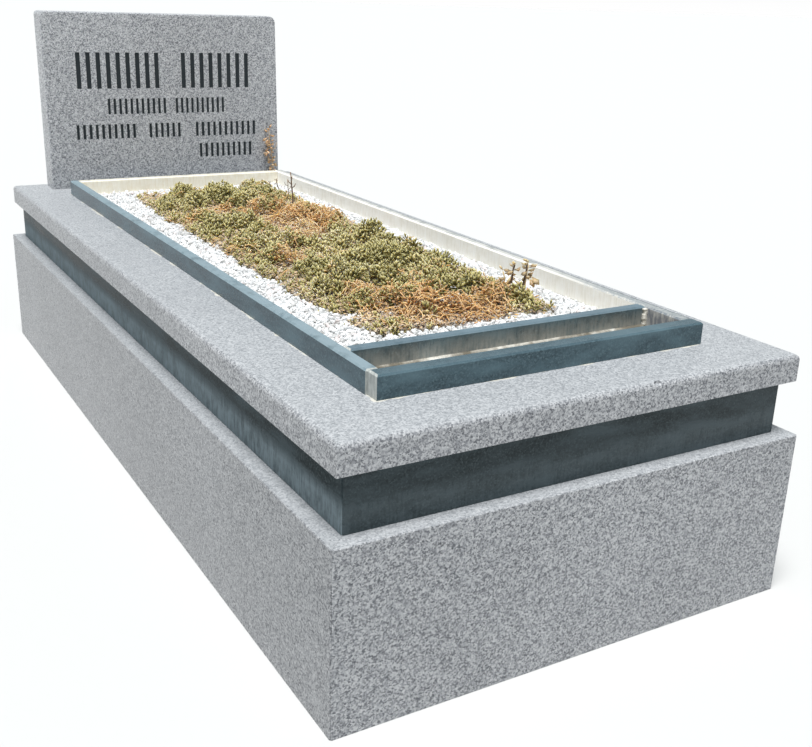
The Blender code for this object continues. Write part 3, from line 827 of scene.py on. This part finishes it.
def strand(points, radii, sides=4):
    """Tube through points that tapers from the first radius to the last."""
    path = [Vector(p) for p in points]
    corners, faces = [], []
    for i, point in enumerate(path):
        ahead = (path[min(i + 1, len(path) - 1)] - path[max(i - 1, 0)]).normalized()
        side = ahead.orthogonal().normalized()
        other = ahead.cross(side)
        radius = radii[0] + (radii[1] - radii[0]) * i / (len(path) - 1)
        for k in range(sides):
            angle = 2 * math.pi * k / sides
            corners.append(point + radius * (math.cos(angle) * side + math.sin(angle) * other))
    for i in range(len(path) - 1):
        for k in range(sides):
            a, b = i * sides + k, i * sides + (k + 1) % sides
            faces += [(a, b, b + sides), (a, b + sides, a + sides)]
    last = (len(path) - 1) * sides
    for k in range(1, sides - 1):
        faces += [(0, k + 1, k), (last, last + k, last + k + 1)]
    return np.array([c[:] for c in corners]), np.array(faces)


def leaf_finish(name, stops, rough):
    """Waxy or dried leaf; each leaf has its own tone, and whole tufts differ a little."""
    made, tree = finish(name)
    own = node(tree, "NewGeometry")["Random Per Island"]
    place = node(tree, "TexCoord")["Object"]
    tuft = node(tree, "TexVoronoi", {"Vector": place, "Scale": 1.0 / TUFT})["Color"]
    tuft = node(tree, "SeparateColor", {0: tuft})["Red"]
    mixed = node(tree, "Mix", {0: TUFT_SHARE, 2: own, 3: tuft})[0]
    tone = node(tree, "ValToRGB", {"Fac": mixed}, stops=stops)["Color"]
    fleck = node(tree, "TexNoise", {"Vector": place, "Scale": 1.0 / FLECK, "Detail": 2.0})["Fac"]
    shade = node(tree, "MapRange", {"Value": fleck, "From Min": 0.3, "From Max": 0.7,
                                    "To Min": 0.86, "To Max": 1.12})["Result"]
    tone = node(tree, "VectorMath", {0: tone, "Scale": shade}, operation="SCALE")["Vector"]
    shader = node(tree, "BsdfPrincipled", {
        "Base Color": tone, "Roughness": rough, "Subsurface Weight": LEAF_GLOW,
        "Subsurface Radius": (1.0, 0.8, 0.4), "Subsurface Scale": LEAF_GLOW_DEPTH})
    node(tree, "OutputMaterial", {"Surface": shader["BSDF"]})
    return made


living = leaf_finish("waxy_green_leaf",
                     ((0.05, "#7B764B"), (0.3, "#898352"), (0.5, "#948D5B"), (0.7, "#A39A6A"),
                      (0.95, "#C2B58F")), 0.5)
dried = leaf_finish("shrivelled_leaf",
                    ((0.05, "#B4825A"), (0.3, "#CC9A6A"), (0.5, "#DBAB7A"), (0.7, "#E5BB8E"),
                     (0.95, "#F2DBBD")), 0.7)
dried_stalk = leaf_finish("dried_trailing_stem",
                          ((0.0, "#C69464"), (0.5, "#DCAC7A"), (1.0, "#EDCCA2")), 0.8)
litter = leaf_finish("leaf_litter",
                     ((0.0, "#A48668"), (0.4, "#BE9C7A"), (0.7, "#D0AE8A"), (1.0, "#E6CEB2")), 0.95)


def tuft_at(x, y):
    """Distance from the nearest tuft's middle, as a share of a tuft, and how low that tuft is."""
    distances, middles = noise.voronoi((x / TUFT, y / TUFT, 2.0))
    return distances[0], 0.5 + 0.5 * noise.noise(5.0 * middles[0])


def mat_top(x, y):
    """Height of the shoots' tips: the solid's surface, lower between the tufts; None off it."""
    top = drop(plant_surface, x, y)
    if top is None:
        return None
    distance, low = tuft_at(x, y)
    level = top + TUFT_RISE - TUFT_DROP * min(1.0, 1.4 * distance) ** 2 - TUFT_LEVEL * low
    return max(level, plant_low.z + LOWEST_TIP)


green_spots, dry_spots = [], []
for x in np.arange(plant_low.x, plant_high.x, SHOOT_SPACING):
    for y in np.arange(plant_low.y, plant_high.y, SHOOT_SPACING):
        px, py = np.array((x, y)) + chance.uniform(-0.5, 0.5, 2) * SHOOT_SPACING
        top = mat_top(px, py)
        if top is None or not is_planted(px, py):
            continue
        if tuft_at(px, py)[0] > TUFT_EDGE + chance.uniform(0.0, 0.3):
            continue
        spot = (px, py, top + chance.uniform(*SHOOT_HEIGHTS))
        dry = dryness(px, py) + chance.normal(0.0, DRY_SCATTER)
        (dry_spots if dry > DRY_SHARE else green_spots).append(spot)


def shoots(spots, kinds, lean):
    """Shoots of the kinds with their tips at the spots, leaning over by up to that many radians."""
    places = np.array(spots)
    sizes = chance.uniform(*LEAF_LENGTH, len(places))
    places[:, 2] -= SHOOT_SINK * sizes
    return copies(kinds, places, random_turns(len(places), lean), sizes)


green_kinds = [shoot(-5, 68, 0.14, 1.0, SHOOT_LEAVES) for _ in range(SHOOT_KINDS)]
dry_kinds = [shoot(-15, 60, -0.30, 0.8, SHOOT_LEAVES) for _ in range(SHOOT_KINDS)]
piece("living_shoots", [(*shoots(green_spots, green_kinds, 0.55), living)],
      "ground_cover", True)

stems = []
for px, py, pz in dry_spots:
    heading = chance.uniform(0, 2 * math.pi)
    curve = chance.uniform(-STEM_CURVE, STEM_CURVE)
    step = chance.uniform(*STEM_LENGTH) / STEM_POINTS
    arch = chance.uniform(*STEM_ARCH)
    x, y = px, py
    path = []
    for i in range(STEM_POINTS):
        share = i / (STEM_POINTS - 1)
        top = mat_top(x, y)
        if top is None:
            break
        z = min(top, pz + STEM_LIFT) - STEM_SINK + arch * math.sin(math.pi * share)
        path.append((x, y, z))
        x += step * math.cos(heading + curve * share)
        y += step * math.sin(heading + curve * share)
    if len(path) > 2:
        stems.append(strand(path, STEM_RADIUS))
piece("dried_shoots", [(*shoots(dry_spots, dry_kinds, 0.9), dried), (*gather(stems), dried_stalk)],
      "ground_cover", True)

flakes = []
for x in np.arange(plant_low.x, plant_high.x, LITTER_SPACING):
    for y in np.arange(plant_low.y, plant_high.y, LITTER_SPACING):
        px, py = np.array((x, y)) + chance.uniform(-0.5, 0.5, 2) * LITTER_SPACING
        if not is_planted(px, py):
            continue
        flakes.append((px, py, plant_low.z + chance.uniform(*LITTER_HEIGHT)))
flake_kinds = [leaf(0.55, 0.12, curl) for curl in (-0.3, -0.1, 0.1)]
flake_sizes = chance.uniform(*LITTER_LENGTH, len(flakes))
fallen = copies(flake_kinds, np.array(flakes), random_turns(len(flakes), 0.5), flake_sizes)
piece("leaf_litter", [(*fallen, litter)], "ground_cover", False)

# Dead stems
# Last year's stalks stand up out of the planting: a dark forked twig with smaller ones near it
# and thick withered stalks with straw-coloured leaves near the foot. A leafy brown sprig leans
# on the headstone behind the kerb. All are dry and break easily.
TWIG_SIDES = 6
WITHERED_LEAVES = 6          # on a withered shoot
STALK_FOOT = 0.470           # height of the stalks' feet
WOODS = {
    "dark": leaf_finish("weathered_twig",
                        ((0.0, "#4E4036"), (0.5, "#6A574A"), (1.0, "#8A7565")), 0.85),
    "straw": leaf_finish("straw_coloured_stalk",
                         ((0.0, "#A58C6B"), (0.5, "#C9B18B"), (1.0, "#E6D6B6")), 0.8),
    "brown": leaf_finish("dried_leafy_sprig",
                         ((0.0, "#AD8968"), (0.5, "#CDA884"), (1.0, "#E6CBB0")), 0.8),
}
DEAD_STEMS = (
    # foot's place, tip, radius, forks, wood, then leaves: length, wood and places up the stem
    ((0.184, 0.460), (0.178, 0.462, 0.566), 0.0024, 3, "dark", 0.0, "dark", ()),
    ((0.207, 0.542), (0.205, 0.544, 0.530), 0.0014, 2, "dark", 0.0, "dark", ()),
    ((0.222, 0.637), (0.211, 0.640, 0.519), 0.0020, 0, "dark", 0.012, "dark", (0.95,)),
    ((0.188, 0.612), (0.178, 0.615, 0.517), 0.0018, 0, "dark", 0.010, "dark", (0.95,)),
    ((0.188, -0.576), (0.202, -0.574, 0.533), 0.0030, 0, "dark", 0.026, "straw", (0.9, 1.0)),
    ((0.196, -0.612), (0.206, -0.610, 0.545), 0.0030, 0, "dark", 0.024, "straw", (0.9, 1.0)),
    ((0.206, -0.600), (0.220, -0.596, 0.538), 0.0018, 1, "straw", 0.020, "straw", (1.0,)),
    ((0.150, -0.623), (0.142, -0.620, 0.536), 0.0022, 1, "straw", 0.026, "straw",
     (0.3, 0.6, 1.0)),
    ((0.338, 0.950), (0.326, 0.962, 0.624), 0.0014, 1, "brown", 0.027, "brown",
     (0.30, 0.36, 0.42, 0.66, 0.72, 0.78, 1.0)),
)


def dead_stem(foot, tip, radius, forks):
    """Stalk that wavers upwards, with forks on its upper half."""
    start, end = np.array(foot), np.array(tip)
    height = end[2] - start[2]
    path = []
    for i in range(STEM_POINTS):
        share = i / (STEM_POINTS - 1)
        waver = chance.uniform(-0.0015, 0.0015, 3) * (i > 0)
        path.append(start + (end - start) * share + waver * (1.0, 1.0, 0.0))
    parts = [strand(path, (radius, radius * 0.6), TWIG_SIDES)]
    for k in range(forks):
        root = start + (end - start) * (0.55 + 0.35 * k / forks)
        heading = k * GOLDEN_ANGLE + chance.uniform(-0.4, 0.4)
        out = np.array((math.cos(heading), math.sin(heading), 0.0))
        reach = height * chance.uniform(0.12, 0.22)
        bend = root + out * reach * 0.6 + (0.0, 0.0, reach * 0.3)
        twig_tip = root + out * reach * 0.9 + (0.0, 0.0, reach * 0.9)
        parts.append(strand((root, bend, twig_tip), (radius * 0.7, radius * 0.4), TWIG_SIDES))
    return gather(parts)


withered = [shoot(-35, 60, -0.25, 1.35, WITHERED_LEAVES) for _ in range(SHOOT_KINDS)]


def stem_leaves(foot, tip, length, places):
    """Withered leaves around the stem at those shares of its height."""
    start, end = np.array(foot), np.array(tip)
    spots = np.array([start + (end - start) * place for place in places])
    sizes = length * chance.uniform(0.8, 1.15, len(spots))
    return copies(withered, spots, random_turns(len(spots), 0.5), sizes)


parts = []
for rooted_at, tip, radius, forks, wood, length, leaf_wood, places in DEAD_STEMS:
    foot = (*rooted_at, STALK_FOOT)
    parts.append((*dead_stem(foot, tip, radius, forks), WOODS[wood]))
    if places:
        parts.append((*stem_leaves(foot, tip, length, places), WOODS[leaf_wood]))
piece("dead_stems", parts, "ground_cover", True)
